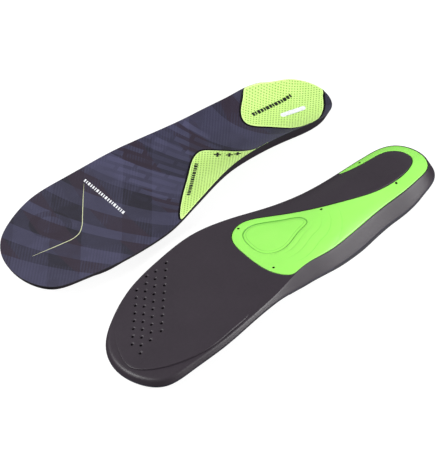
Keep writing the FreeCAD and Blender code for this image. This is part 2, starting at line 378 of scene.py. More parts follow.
def closed_curve(points, step):
    """One smooth closed curve through the points, as evenly spaced points."""
    corners = np.array(points, float)
    count = len(corners)
    after = np.linalg.norm(np.roll(corners, -1, axis=0) - corners, axis=1)
    before = np.roll(after, 1)
    behind = (corners - np.roll(corners, 1, axis=0)) / before[:, None]
    ahead = (np.roll(corners, -1, axis=0) - corners) / after[:, None]
    system = np.diag(2 * (before + after))
    for index in range(count):
        system[index, index - 1] += after[index]
        system[index, (index + 1) % count] += before[index]
    slopes = np.linalg.solve(system, 3 * (after[:, None] * behind + before[:, None] * ahead))
    pieces = []
    for index in range(count):
        following = (index + 1) % count
        span = after[index]
        t = np.linspace(0, 1, max(int(span / step * 4), 4), endpoint=False)[:, None]
        curve = corners[index] * (1 + 2 * t) * (1 - t) ** 2 + corners[following] * t * t * (3 - 2 * t)
        curve += span * (slopes[index] * t * (1 - t) ** 2 - slopes[following] * t * t * (1 - t))
        pieces.append(curve)
    return turning_left(evenly(np.vstack(pieces), step))


def circle(centre, radius):
    """Closed round outline."""
    turns = np.arange(HOLE_SIDES) * 2 * math.pi / HOLE_SIDES
    return np.array(centre) + radius * np.column_stack([np.cos(turns), np.sin(turns)])


def outward(loop):
    """Unit directions that point out of a closed outline."""
    run = np.roll(loop, -1, axis=0) - np.roll(loop, 1, axis=0)
    normal = np.column_stack([run[:, 1], -run[:, 0]])
    return normal / np.linalg.norm(normal, axis=1)[:, None]


def grown(loop, distance):
    """A closed outline moved outward by a distance, or by one distance for each point."""
    return loop + outward(loop) * np.reshape(distance, (-1, 1))


def rounded_off(loop, passes):
    """A closed outline with its corners worn round."""
    for _ in range(passes):
        loop = (np.roll(loop, 1, axis=0) + 2 * loop + np.roll(loop, -1, axis=0)) / 4
    return loop


def inside(points, loop):
    """Which points lie inside a closed outline."""
    x, y = points.T
    found = np.zeros(len(points), bool)
    low, high = loop.min(axis=0), loop.max(axis=0)
    near = np.flatnonzero((x >= low[0]) & (x <= high[0]) & (y >= low[1]) & (y <= high[1]))
    crossings = np.zeros(len(near), int)
    for (x0, y0), (x1, y1) in zip(loop, np.roll(loop, -1, axis=0)):
        spans = (y0 > y[near]) != (y1 > y[near])
        side = (x1 - x0) * (y[near] - y0) / (y1 - y0 if y1 != y0 else 1) + x0
        crossings += spans & (x[near] < side)
    found[near] = crossings % 2 == 1
    return found


def distance_to(points, targets):
    """Distance from each point to the nearest of the targets."""
    nearest = np.full(len(points), np.inf)
    for start in range(0, len(targets), POINTS_AT_A_TIME):
        gaps = points[:, None, :] - targets[None, start:start + POINTS_AT_A_TIME, :]
        nearest = np.minimum(nearest, np.sqrt((gaps ** 2).sum(axis=2)).min(axis=1))
    return nearest


def kept_run(loop, keep):
    """The one stretch of a closed outline that is kept, from its start to its end."""
    start = np.flatnonzero(keep & ~np.roll(keep, 1))[0]
    order = np.roll(np.arange(len(loop)), -start)
    return loop[order][keep[order]]


def trimmed(plan, border, corners):
    """The outline cut off at a border. A third column is 1 on the outline and 0 on the border."""
    fine = OUTLINE_STEP / 4
    outline = closed_curve(plan, fine)
    border = evenly(border, fine)
    own = kept_run(outline, inside(outline, border))
    cut = kept_run(border, inside(border, outline))
    own = np.column_stack([own, np.ones(len(own))])
    cut = np.column_stack([cut, np.zeros(len(cut))])
    return rounded_off(evenly(np.vstack([own, cut]), OUTLINE_STEP), corners)


# ---------------------------------------------------------------- patches of mesh

def lifted(plan, height):
    """Plan points as (across, along, height)."""
    return np.column_stack([plan, height(plan)])


def rows_along(loop, offsets):
    """Extra points beside a closed outline, left out where it is too narrow for them."""
    rows = []
    for offset in offsets:
        row = grown(loop, offset)
        rows.append(row[distance_to(row, loop) > ROW_CLEARANCE * abs(offset)])
    return np.vstack(rows)


def cap(outline, height, holes=(), extra=(), slot=0):
    """Triangles inside a closed outline and outside the holes, lifted to a height.

    extra holds groups of points that the triangles use too, where the face has fine shape.
    """
    loops = [outline, *holes]
    extra = [group[inside(group, outline)] for group in extra]
    low, high = outline.min(axis=0), outline.max(axis=0)
    rows = np.arange(low[1], high[1], GRID * math.sqrt(3) / 2)
    across = [np.arange(low[0] + GRID / 2 * (row % 2), high[0], GRID) for row in range(len(rows))]
    grid = np.column_stack([np.concatenate(across), np.repeat(rows, [len(row) for row in across])])
    grid = grid[inside(grid, outline)]
    grid = grid[distance_to(grid, np.vstack([*loops, *extra])) > GRID * GRID_CLEARANCE]
    edges = []
    start = 0
    for loop in loops:
        edges += [(start + k, start + (k + 1) % len(loop)) for k in range(len(loop))]
        start += len(loop)
    points = [Vector(point) for point in np.vstack([*loops, *extra, grid])]
    found = delaunay_2d_cdt(points, edges, [], 0, WELD / 20)
    plan = np.array([tuple(point) for point in found[0]])
    faces = np.array(found[2])
    middles = plan[faces].mean(axis=1)
    keep = inside(middles, outline)
    for hole in holes:
        keep &= ~inside(middles, hole)
    return lifted(plan, height), faces[keep], slot


def skirt(rings, slot=0):
    """Four-sided faces between closed rings that have the same number of points."""
    count = len(rings[0])
    index = np.arange(count)
    following = (index + 1) % count
    faces = [np.column_stack([index, following, following + count, index + count]) + count * level
             for level in range(len(rings) - 1)]
    return np.vstack(rings), np.vstack(faces), slot


def rounded_corner(before, corner, after, radius):
    """Rings that turn smoothly at a corner ring, between a ring before it and a ring after it."""
    radius = np.reshape(radius, (-1, 1))
    back, ahead = before - corner, after - corner
    start = corner + radius * back / np.linalg.norm(back, axis=1)[:, None]
    end = corner + radius * ahead / np.linalg.norm(ahead, axis=1)[:, None]
    shares = np.linspace(0, 1, ROUND_STEPS + 1)
    return [(1 - t) ** 2 * start + 2 * t * (1 - t) * corner + t * t * end for t in shares]


def edge_distance(points, outline):
    """How far each point lies inside an outline, less than 0 outside it."""
    return distance_to(points, outline) * np.where(inside(points, outline), 1, -1)


def rounding(plan, outline, radius):
    """How much a rounded edge is lower than the face beside it, next to an outline."""
    share = 1 - np.clip(distance_to(plan, outline) / radius, ROUND_START, 1)
    return radius * (1 - np.sqrt(1 - share ** 2))


# ---------------------------------------------------------------- outlines of this insole

def rim_points():
    """Plan points of the rim, once round the insole."""
    inner = [(half, along) for along, half, other in RIM_PLAN]
    outer = [(-half, along) for along, other, half in reversed(RIM_PLAN)]
    return [HEEL_TIP, *inner, TOE_TIP, *outer]


rim = closed_curve(rim_points(), RIM_STEP)
rim_outward = outward(rim)
rim_height = blend_sides(INNER_RIM, OUTER_RIM, rim)
vents = np.array([(across + VENT_STEP * k, along + VENT_STEP * k)
                  for across, along, count in VENT_COLUMNS for k in range(count)])


def wall_ring(height, inset):
    """Ring of the leaning side wall at one height for each point of the rim."""
    shift = inset + WALL_LEAN * (rim_height - height)
    return np.column_stack([rim - rim_outward * np.reshape(shift, (-1, 1)), height])


def meeting(surface, inset=0.0):
    """Ring where the side wall, moved in by an inset, meets a dished face."""
    height = rim_height
    for _ in range(MEETING_STEPS):
        height = surface(wall_ring(height, inset)[:, :2])
    return wall_ring(height, inset)


def vent_dimple(plan):
    """Depth of the shallow dimples round the ventilation holes."""
    return VENT_DIMPLE_DEPTH * smooth_step(distance_to(plan, vents), VENT_DIMPLE_RADIUS, VENT_RADIUS)


def wedge_thickness(plan):
    """Thickness of the forefoot wedge."""
    across = np.clip((plan[:, 0] - WEDGE_RAMP_ACROSS[0]) / np.ptp(WEDGE_RAMP_ACROSS), 0, 1)
    along = smooth_step(plan[:, 1], *WEDGE_RAMP_ALONG)
    return WEDGE_FEATHER + (WEDGE_THICK - WEDGE_FEATHER) * across * along


def vent_circles(outline):
    """Holes for the vents that lie inside an outline, clear of its edge."""
    clear = edge_distance(vents, outline) > VENT_RADIUS + VENT_CLEARANCE
    return [circle(vent, VENT_RADIUS) for vent in vents[clear]]


def bores(holes, upper, lower, slot=0):
    """Walls of the holes between two faces."""
    return [skirt([lifted(hole, upper), lifted(hole, lower)], slot) for hole in holes]


# ---------------------------------------------------------------- pieces

def top_cover():
    """Knitted top cover with a rounded edge."""
    bottom = shifted(top_height, -COVER)
    upper, lower = meeting(top_height), meeting(bottom)
    inner = meeting(top_height, COVER_ROUND)
    corner = rounded_corner(inner, upper, lower, COVER_ROUND)
    corner[0][:, 2] = top_height(corner[0][:, :2])
    return [
        cap(corner[0][:, :2], top_height),
        skirt([*corner, lower], 1),
        cap(lower[:, :2], bottom),
    ]


def cushion_layer():
    """Soft foam layer between the cover and the base."""
    upper = shifted(top_height, -COVER - GLUE)
    lower = shifted(top_height, -COVER - CUSHION + GLUE)
    top_ring, low_ring = meeting(upper, CUSHION_INSET + GLUE), meeting(lower, CUSHION_INSET + GLUE)
    holes = vent_circles(low_ring[:, :2])
    return [
        cap(top_ring[:, :2], upper, holes),
        skirt([top_ring, low_ring]),
        cap(low_ring[:, :2], lower, holes),
        *bores(holes, upper, lower),
    ]


def recess_outline():
    """Plan of the recess for the arch shell, cut off just inside the edge of the sole.

    A third column is 0 at that edge.
    """
    return trimmed(SHELL_PLAN, meeting(under_height, SHELL_INSET)[:, :2], SHELL_CORNERS)


def vent_rings(holes_in):
    """Points round the ventilation holes, where the face is dimpled."""
    return [circle(vent, VENT_DIMPLE_RADIUS * share) for vent in vents[inside(vents, holes_in)]
            for share in VENT_DIMPLE_RINGS]


def foam_base():
    """Moulded foam base: pocket for the cushion on top, recess for the shell underneath."""
    upper = shifted(top_height, -COVER - GLUE)
    pocket = shifted(top_height, -COVER - CUSHION)
    floor = shifted(under_height, SHELL)
    recess = recess_outline()[:, :2]

    def sole_face(plan):
        return under_height(plan) + vent_dimple(plan) + rounding(plan, recess, RECESS_ROUND)

    top_corner, sole_corner = meeting(upper), meeting(under_height)
    top_edge = rounded_corner(meeting(upper, TOP_ROUND), top_corner, sole_corner, TOP_ROUND)
    top_edge[0][:, 2] = upper(top_edge[0][:, :2])
    sole_round = np.interp(rim[:, 1], *np.transpose(SOLE_ROUND))
    sole_inside = meeting(under_height, SOLE_EDGE_REACH)
    sole_edge = rounded_corner(top_corner, sole_corner, sole_inside, sole_round)
    sole_edge[-1][:, 2] = sole_face(sole_edge[-1][:, :2])
    wall = [top_edge[-1] * (1 - t) + sole_edge[0] * t for t in (0.25, 0.5, 0.75)]
    pocket_plan = meeting(upper, CUSHION_INSET)[:, :2]
    sole = sole_edge[-1][:, :2]
    holes = vent_circles(sole)
    fine = [*vent_rings(sole), rows_along(recess, (RECESS_ROUND / 2, RECESS_ROUND))]
    return [
        cap(top_edge[0][:, :2], upper, [pocket_plan]),
        skirt([lifted(pocket_plan, upper), lifted(pocket_plan, pocket)]),
        cap(pocket_plan, pocket, holes),
        skirt([*top_edge, *wall, *sole_edge]),
        cap(sole, sole_face, [recess, *holes], fine),
        skirt([lifted(recess, sole_face), lifted(recess, floor)]),
        cap(recess, floor),
        *bores(holes, pocket, sole_face),
    ]


def flow_grooves(plan, tear):
    """Depth of the faint flow grooves that run round the inner side of the drop."""
    away = -edge_distance(plan, tear)
    depth = sum(depth * smooth_step(np.abs(away - place), FLOW_WIDTH, 0) for place, depth in FLOW_GROOVES)
    return depth * smooth_step(plan[:, 0], *FLOW_ACROSS) * smooth_step(plan[:, 1], *FLOW_ALONG)


def flow_rows(tear, outline):
    """Points along the flow grooves, clear of the shell's edge and holes."""
    offsets = [place + FLOW_WIDTH * share for place, depth in FLOW_GROOVES
               for share in (-1, -0.5, 0, 0.5, 1)]
    rows = np.vstack([grown(tear, offset) for offset in offsets])
    rows = rows[(rows[:, 0] > FLOW_ACROSS[0]) & (edge_distance(rows, outline) > FLOW_CLEARANCE)]
    return rows[distance_to(rows, np.array(SHELL_HOLES)) > SHELL_HOLE_RADIUS + FLOW_CLEARANCE]


def arch_shell():
    """Plastic shell, flush with the sole, with a drop-shaped groove and moulding holes whose walls take the
    dark foam material as painted shade.
    """
    recess = recess_outline()
    outline = grown(recess[:, :2], -np.interp(recess[:, 2], (0, 1), SHELL_GAP))
    tear = closed_curve(TEAR_PLAN, OUTLINE_STEP)

    def face(plan):
        depth = edge_distance(plan, tear)
        groove = smooth_step(depth, 0, TEAR_WIDTH * 0.2) - np.clip(depth / TEAR_WIDTH - 0.25, 0, 0.75)
        sunk = TEAR_DEPTH * groove + flow_grooves(plan, tear)
        return under_height(plan) + sunk + rounding(plan, outline, SHELL_ROUND)

    back = shifted(under_height, SHELL - GLUE)
    holes = [circle(place, SHELL_HOLE_RADIUS) for place in SHELL_HOLES]
    edge = rows_along(outline, [-SHELL_ROUND * share for share in (0.15, 0.35, 0.65, 1)])
    groove = rows_along(tear, [-TEAR_WIDTH * share for share in (0, 0.1, 0.2, 0.3, 0.5, 0.75, 1)])
    return [
        cap(outline, face, holes, [edge, groove, flow_rows(tear, outline)]),
        skirt([lifted(outline, face), lifted(outline, back)]),
        cap(outline, back, holes),
        # The holes' walls get the dark foam material: painted shade inside the holes.
        *bores(holes, face, back, 1),
    ]


def forefoot_wedge():
    """Foam wedge under the ball of the foot, with a rounded step where it is thick."""
    outline = closed_curve(WEDGE_PLAN, OUTLINE_STEP)

    def upper(plan):
        return under_height(plan) - GLUE + vent_dimple(plan)

    def lower(plan):
        worn = np.minimum(rounding(plan, outline, WEDGE_ROUND) / WEDGE_ROUND, WEDGE_WORN)
        return upper(plan) - wedge_thickness(plan) * (1 - worn)

    holes = vent_circles(outline)
    edge = rows_along(outline, [-WEDGE_ROUND * share for share in (0.05, 0.15, 0.35, 0.65, 1)])
    return [
        cap(outline, lower, holes, [edge, *vent_rings(outline)]),
        skirt([lifted(outline, lower), lifted(outline, upper)]),
        cap(outline, upper, holes, vent_rings(outline)),
        *bores(holes, lower, upper),
    ]


def patch_outline(plan):
    """Plan of a mesh patch, cut off just inside the rim. A third column is 0 at the rim."""
    return trimmed(plan, meeting(top_height, PATCH_INSET)[:, :2], PATCH_CORNERS)


def patch(plan):
    """Thin mesh patch with a dark strip round it where it meets the cover."""
    marked = patch_outline(plan)
    outline = marked[:, :2]
    own = rounded_off(smooth_step(marked[:, 2], 0.5, 1), PATCH_CORNERS)
    border = grown(outline, BORDER_WIDTH * own + BORDER_LEAST)
    border_top = shifted(top_height, BORDER_THICKNESS)

    def upper(points):
        return top_height(points) + PATCH - rounding(points, outline, PATCH_ROUND) * 0.8

    edge = rows_along(outline, [-PATCH_ROUND * share for share in (0.2, 0.5, 1)])
    return [
        cap(outline, upper, extra=[edge]),
        skirt([lifted(outline, upper), lifted(outline, border_top)]),
        skirt([lifted(outline, border_top), lifted(border, border_top), lifted(border, top_height)], 1),
        cap(border, top_height, slot=1),
    ]


def open_curve(points, step):
    """One smooth open curve through the points, as evenly spaced points."""
    corners = np.array(points, float)
    run = np.concatenate([[0], np.cumsum(np.linalg.norm(np.diff(corners, axis=0), axis=1))])
    places = np.linspace(0, run[-1], round(run[-1] / step) + 1)
    return np.column_stack([on_profile(np.column_stack([run, corners[:, k]]), places) for k in (0, 1)])


def line_outline(points, width):
    """Outline of a printed line that thins out to both ends."""
    middle = open_curve(points, OUTLINE_STEP)
    run = np.gradient(middle, axis=0)
    sideways = np.column_stack([run[:, 1], -run[:, 0]]) / np.linalg.norm(run, axis=1)[:, None]
    share = np.linspace(0, 1, len(middle))
    half = width / 2 * np.minimum(1, 0.25 + 4 * np.minimum(share, 1 - share))
    offset = sideways * half[:, None]
    return turning_left(np.vstack([middle + offset, (middle - offset)[::-1]]))


def bar_outline(centre, direction, length, height, slant=0.0):
    """Outline of a slanted bar that is as long as length along the direction."""
    ahead = np.array(direction) / np.linalg.norm(direction)
    up = np.array([-ahead[1], ahead[0]]) + slant * ahead
    corners = [(-1, -1), (1, -1), (1, 1), (-1, 1)]
    return turning_left(np.array([centre + ahead * length / 2 * x + up * height / 2 * y for x, y in corners]))


def cross_outline(centre, arm, width):
    """Outline of a diagonal cross."""
    half = width / 2
    quarter = [(arm, -half), (arm, half), (half, half)]
    corners = []
    for turn in range(4):
        angle = math.pi / 4 + turn * math.pi / 2
        cosine, sine = math.cos(angle), math.sin(angle)
        corners += [(x * cosine - y * sine, x * sine + y * cosine) for x, y in quarter]
    return turning_left(np.array(centre) + np.array(corners))


def pill_outline(start, end, width):
    """Outline of a bar with round ends."""
    ahead = np.array(end) - np.array(start)
    facing = math.atan2(ahead[1], ahead[0])
    turns = np.linspace(-math.pi / 2, math.pi / 2, HOLE_SIDES)
    ends = []
    for centre, way in ((end, facing), (start, facing + math.pi)):
        arc = np.column_stack([np.cos(turns + way), np.sin(turns + way)])
        ends.append(np.array(centre) + width / 2 * arc)
    return turning_left(np.vstack(ends))


def row_of_bars(start, end, lengths, gap, height, slant):
    """Outlines of a row of short bars between two points, in repeating lengths."""
    start, ahead = np.array(start), np.array(end) - np.array(start)
    total = np.linalg.norm(ahead)
    ahead = ahead / total
    outlines = []
    place = 0.0
    while place < total:
        length = lengths[len(outlines) % len(lengths)]
        outlines.append(bar_outline(start + ahead * (place + length / 2), ahead, length, height, slant))
        place += length + gap
    return outlines


def printed(outline, height, slot):
    """A thin layer of ink."""
    upper, lower = shifted(height, INK), shifted(height, -INK)
    return [
        cap(outline, upper, slot=slot),
        skirt([lifted(outline, upper), lifted(outline, lower)], slot),
        cap(outline, lower, slot=slot),
    ]


def cover_print():
    """Thin line over the vents and a row of light bars beside it."""
    patches = printed(line_outline(LINE_PLAN, LINE_WIDTH), top_height, 1)
    for outline in row_of_bars(*COVER_BARS):
        patches += printed(outline, top_height, 0)
    return patches


def patch_print():
    """Crosses, rows of dark bars and one light bar on the mesh patches."""
    height = shifted(top_height, PATCH)
    patches = printed(pill_outline(*HEEL_PILL), height, 0)
    for centre in CROSSES:
        patches += printed(cross_outline(centre, CROSS_ARM, CROSS_WIDTH), height, 1)
    for outline in [*row_of_bars(*HEEL_BARS), *row_of_bars(*ARCH_BARS)]:
        patches += printed(outline, height, 1)
    return patches


# ---------------------------------------------------------------- materials

def srgb(red, green, blue):
    """Screen colour, 0 to 255, as linear colour by the standard sRGB curve."""
    linear = [c / 3294.6 if c < 11 else ((c / 255 + 0.055) / 1.055) ** 2.4 for c in (red, green, blue)]
    return (*linear, 1)


PRINT_DARK = srgb(24, 21, 34)
PRINT_LIGHT = srgb(69, 68, 95)
PRINT_WARM = srgb(43, 31, 46)
# Cut edge of the cover: the backing's colour, darkened with painted shade.
EDGE_DARK = srgb(28, 28, 32)
EDGE_LIGHT = srgb(56, 55, 62)
MESH_DEEP = srgb(183, 223, 112)
MESH_PALE = srgb(201, 238, 140)
# Margin of the mesh patches: plain colour, lighter as a painted highlight.
MESH_EDGE_HIGHLIGHT = srgb(206, 241, 146)
MESH_SHADE = srgb(96, 138, 44)
BORDER_DARK = srgb(8, 8, 11)
BORDER_LIGHT = srgb(16, 15, 20)
FOAM_DARK = srgb(39, 33, 40)
FOAM_LIGHT = srgb(52, 45, 53)
SHELL_DEEP = srgb(138, 220, 87)
SHELL_PALE = srgb(152, 227, 99)
SHELL_SHADE = srgb(66, 140, 40)
INK_WHITE = srgb(226, 228, 232)
INK_BLACK = srgb(20, 25, 20)
INK_LINE = srgb(205, 210, 168)
WORN_WHITE = srgb(150, 150, 160)
WORN_BLACK = srgb(60, 80, 44)
WORN_LINE = srgb(140, 146, 120)
CUSHION_DARK = srgb(60, 60, 66)
CUSHION_LIGHT = srgb(84, 84, 90)


class Paint:
    """Short calls for one material's nodes."""

    def __init__(self, name, **settings):
        self.material = bpy.data.materials.new(name)
        self.material.use_nodes = True
        self.tree = self.material.node_tree
        self.shader = self.tree.nodes["Principled BSDF"]
        for key, value in settings.items():
            self.shader.inputs[key.replace("_", " ")].default_value = value

    def node(self, kind, inputs, output=0, **settings):
        """Output of a new node. inputs maps a socket's name or number to a value or an output."""
        made = self.tree.nodes.new("ShaderNode" + kind)
        for key, value in settings.items():
            setattr(made, key, value)
        for key, value in inputs.items():
            self.feed(made.inputs[key], value)
        return made.outputs[output]

    def feed(self, socket, value):
        if isinstance(value, bpy.types.NodeSocket):
            self.tree.links.new(value, socket)
        else:
            socket.default_value = value

    def math(self, operation, first, second=0.0):
        return self.node("Math", {0: first, 1: second}, operation=operation)

    def product(self, first, *others):
        """Product of two or more values."""
        for other in others:
            first = self.math("MULTIPLY", first, other)
        return first

    def mix(self, share, first, second):
        """Colour between two colours."""
        return self.node("Mix", {"Factor": share, 6: first, 7: second}, output=2, data_type="RGBA")

    def step(self, value, low, high):
        """0 below low, 1 above high, smooth between them."""
        sockets = {"Value": value, "From Min": low, "From Max": high}
        return self.node("MapRange", sockets, interpolation_type="SMOOTHSTEP")

    def plan(self):
        """(across, along) of the insole's own frame, in metres."""
        split = self.tree.nodes.new("ShaderNodeSeparateXYZ")
        self.feed(split.inputs[0], self.node("UVMap", {}, uv_map="plan"))
        return split.outputs["X"], split.outputs["Y"]

    def turned(self, across, along, across_share, along_share):
        """A slanted plan coordinate."""
        return self.total((across, across_share), (along, along_share))

    def bands(self, place, width, share, soft):
        """1 on regular bands and 0 between them. share is the part that the bands cover."""
        wave = self.math("PINGPONG", place, width / 2)
        edge = (1 - share) * width / 2
        return self.step(wave, edge - soft, edge + soft)

    def stripes(self, place, tones):
        """Tone that changes in steps along a place, from (where a stripe starts, tone) pairs."""
        start, end = tones[0][0], tones[-1][0]
        made = self.tree.nodes.new("ShaderNodeValToRGB")
        made.color_ramp.interpolation = "CONSTANT"
        for at, tone in tones[1:-1]:
            made.color_ramp.elements.new((at - start) / (end - start)).color = (tone, tone, tone, 1)
        for stop, tone in ((0, tones[0][1]), (-1, tones[-1][1])):
            made.color_ramp.elements[stop].color = (tone, tone, tone, 1)
        share = self.node("MapRange", {"Value": place, "From Min": start, "From Max": end})
        self.feed(made.inputs[0], share)
        return made.outputs[0]

    def total(self, *parts):
        """Sum of (value, weight) pairs."""
        weighted = [self.product(value, weight) for value, weight in parts]
        result = weighted[0]
        for part in weighted[1:]:
            result = self.math("ADD", result, part)
        return result

    def far(self, across, along, centre):
        """Distance from a place on the plan."""
        sides = [self.math("SUBTRACT", place, middle) for place, middle in zip((across, along), centre)]
        return self.math("SQRT", self.math("ADD", *[self.product(side, side) for side in sides]))

    def dots(self, first, second, spacing, radius):
        """1 on a square grid of round dots and 0 between them."""
        folded = [self.math("PINGPONG", place, spacing / 2) for place in (first, second)]
        return self.step(self.far(*folded, (0, 0)), radius * 1.35, radius * 0.65)

    def noise(self, size, detail=2.0, seed=0.0):
        """Soft random values, with spots of about that size in metres."""
        place = self.node("TexCoord", {}, output="Object")
        moved = self.node("VectorMath", {0: place, 1: (seed, seed, seed)}, operation="ADD")
        return self.node("TexNoise", {"Vector": moved, "Scale": 1 / size, "Detail": detail})

    def spread(self, value, low, high):
        """A 0 to 1 value as a value from low to high."""
        return self.node("MapRange", {"Value": value, "To Min": low, "To Max": high})

    def relief(self, height, depth):
        """Feeds the surface a bump. depth is in metres for a height from 0 to 1."""
        bump = self.node("Bump", {"Height": height, "Distance": depth, "Strength": 1.0}, output="Normal")
        self.feed(self.shader.inputs["Normal"], bump)

    def colour(self, value):
        self.feed(self.shader.inputs["Base Color"], value)

    def roughness(self, value):
        self.feed(self.shader.inputs["Roughness"], value)


def stroke_blocks(paint, across, along):
    """Rows of short slanted blocks in one zone of the print: 1 on a block and 0 beside it."""
    length, spacing, gap = STROKE
    ahead, up = (paint.turned(across, along, *way) for way in (STROKE_AHEAD, STROKE_UP))
    place = paint.node("CombineXYZ", {0: ahead, 1: up})
    sizes = {"Scale": 1.0, "Brick Width": length, "Row Height": spacing, "Mortar Size": gap,
             "Mortar Smooth": 0.2}
    shades = {"Color1": (1, 1, 1, 1), "Color2": (0.2, 0.2, 0.2, 1), "Mortar": (0, 0, 0, 1)}
    blocks = paint.node("TexBrick", {"Vector": place, **sizes, **shades}, output="Color")
    start, full, fading, end = STROKE_ZONE
    return paint.product(blocks, paint.step(along, start, full), paint.step(along, end, fading))


def print_tone(paint, across, along, sweep, cross):
    """Tone of the print, 0 dark and 1 light: crossing bands, blocks, a ring and fine ribs."""
    broad = paint.stripes(sweep, PRINT_SWEEP)
    second = paint.stripes(cross, PRINT_CROSS)
    centre, inner, outer = PRINT_RING
    reach = paint.far(across, along, centre)
    ring = paint.product(paint.step(reach, inner - PRINT_SOFT, inner + PRINT_SOFT),
                         paint.step(reach, outer + PRINT_SOFT, outer - PRINT_SOFT))
    rib = paint.bands(paint.turned(across, along, 0.7, -0.7), KNIT_RIB, 0.5, KNIT_RIB * 0.2)
    ribbed = paint.product(rib, paint.step(paint.noise(0.02, 1, 5.0), 0.48, 0.56))
    blocks = stroke_blocks(paint, across, along)
    cloud = paint.noise(0.009, 3)
    return paint.total((broad, SWEEP_TONE), (second, CROSS_TONE), (blocks, STROKE_TONE),
                       (ring, RING_TONE), (ribbed, RIB_TONE), (cloud, CLOUD_TONE), (1.0, BASE_TONE))


def knit_fabric():
    """Dark knit with a tone-on-tone print."""
    paint = Paint("dark knit fabric", Sheen_Weight=0.06, Sheen_Roughness=0.6, Specular_IOR_Level=0.15)
    across, along = paint.plan()
    bow = paint.product(across, across, PRINT_BOW)
    sweep = paint.total((across, SWEEP_SLANT), (along, 1.0), (bow, 1.0))
    cross = paint.turned(across, along, CROSS_SLANT, 1.0)
    tone = print_tone(paint, across, along, sweep, cross)
    warm = paint.bands(paint.math("ADD", sweep, cross), PRINT_WARMTH, 0.45, PRINT_SOFT)
    warm = paint.product(warm, 0.75, paint.step(tone, 0.6, 0.2))
    print_colour = paint.mix(warm, paint.mix(tone, PRINT_DARK, PRINT_LIGHT), PRINT_WARM)
    wales = [paint.bands(paint.turned(across, along, *way), KNIT_STITCH, 0.5, KNIT_STITCH * 0.25)
             for way in ((1.0, 0.0), (0.0, 1.0))]
    stitch = paint.product(*wales)
    fuzz = paint.noise(0.0004, 2, 3.0)
    shade = paint.spread(paint.math("ADD", stitch, fuzz), 0.78, 1.0)
    paint.colour(paint.node("VectorMath", {0: print_colour, "Scale": shade}, operation="SCALE"))
    paint.roughness(paint.spread(fuzz, 0.72, 0.9))
    paint.relief(paint.total((stitch, 1.0), (fuzz, 0.5)), KNIT_DEPTH)
    return paint.material


def cut_edge():
    """Cut edge of the cover, where its backing shows: dark grey, partly the backing's colour and partly
    painted shade along the edge.
    """
    paint = Paint("cover cut edge", Specular_IOR_Level=0.3)
    grain = paint.noise(0.0005, 3)
    paint.colour(paint.mix(grain, EDGE_DARK, EDGE_LIGHT))
    paint.roughness(paint.spread(grain, 0.6, 0.85))
    paint.relief(grain, 0.00005)
    return paint.material


def mesh_fabric():
    """Pale green mesh with rows of fine holes and a plain margin, painted lighter as a highlight along the
    edge.
    """
    paint = Paint("green mesh fabric", Sheen_Weight=0.15, Specular_IOR_Level=0.3)
    across, along = paint.plan()
    first, second = (paint.turned(across, along, DIAGONAL, way) for way in (DIAGONAL, -DIAGONAL))
    hole = paint.dots(first, second, MESH_SPACING, MESH_HOLE)
    margin = paint.step(paint.node("Attribute", {}, output="Fac", attribute_name="edge"), *MESH_MARGIN)
    hole = paint.product(hole, margin)
    tone = paint.noise(0.02, 2)
    body = paint.mix(paint.spread(tone, 0, 1), MESH_DEEP, MESH_PALE)
    # Painted highlight: the plain margin is lighter along the patch's edge.
    body = paint.mix(margin, MESH_EDGE_HIGHLIGHT, body)
    threads = paint.product(*[paint.bands(place, MESH_SPACING / 4, 0.5, MESH_SPACING / 16)
                              for place in (first, second)])
    body = paint.mix(paint.product(threads, 0.25), body, MESH_DEEP)
    paint.colour(paint.mix(paint.product(hole, 0.75), body, MESH_SHADE))
    paint.roughness(paint.spread(threads, 0.55, 0.75))
    paint.relief(paint.math("SUBTRACT", paint.product(threads, 0.3), hole), 0.00012)
    return paint.material


def dark_patch_strip():
    """Dark strip round a mesh patch."""
    paint = Paint("dark patch strip", Specular_IOR_Level=0.1)
    grain = paint.noise(0.0006, 2)
    paint.colour(paint.mix(grain, BORDER_DARK, BORDER_LIGHT))
    paint.roughness(paint.spread(grain, 0.5, 0.7))
    paint.relief(grain, 0.00003)
    return paint.material


def moulded_foam(name, dark, light, roughness):
    """Moulded foam with a fine skin grain, faint flow marks and a soft sheen."""
    paint = Paint(name, Specular_IOR_Level=0.35)
    grain = paint.noise(0.0005, 3)
    cloud = paint.noise(0.03, 3, 1.0)
    speck = paint.noise(0.0022, 2, 2.0)
    paint.colour(paint.mix(paint.total((cloud, 0.6), (speck, 0.4)), dark, light))
    uneven = paint.total((cloud, 0.5), (grain, 0.5))
    paint.roughness(paint.spread(uneven, roughness - 0.1, roughness + 0.1))
    paint.relief(paint.total((grain, 1.0), (speck, 0.7)), 0.00005)
    return paint.material


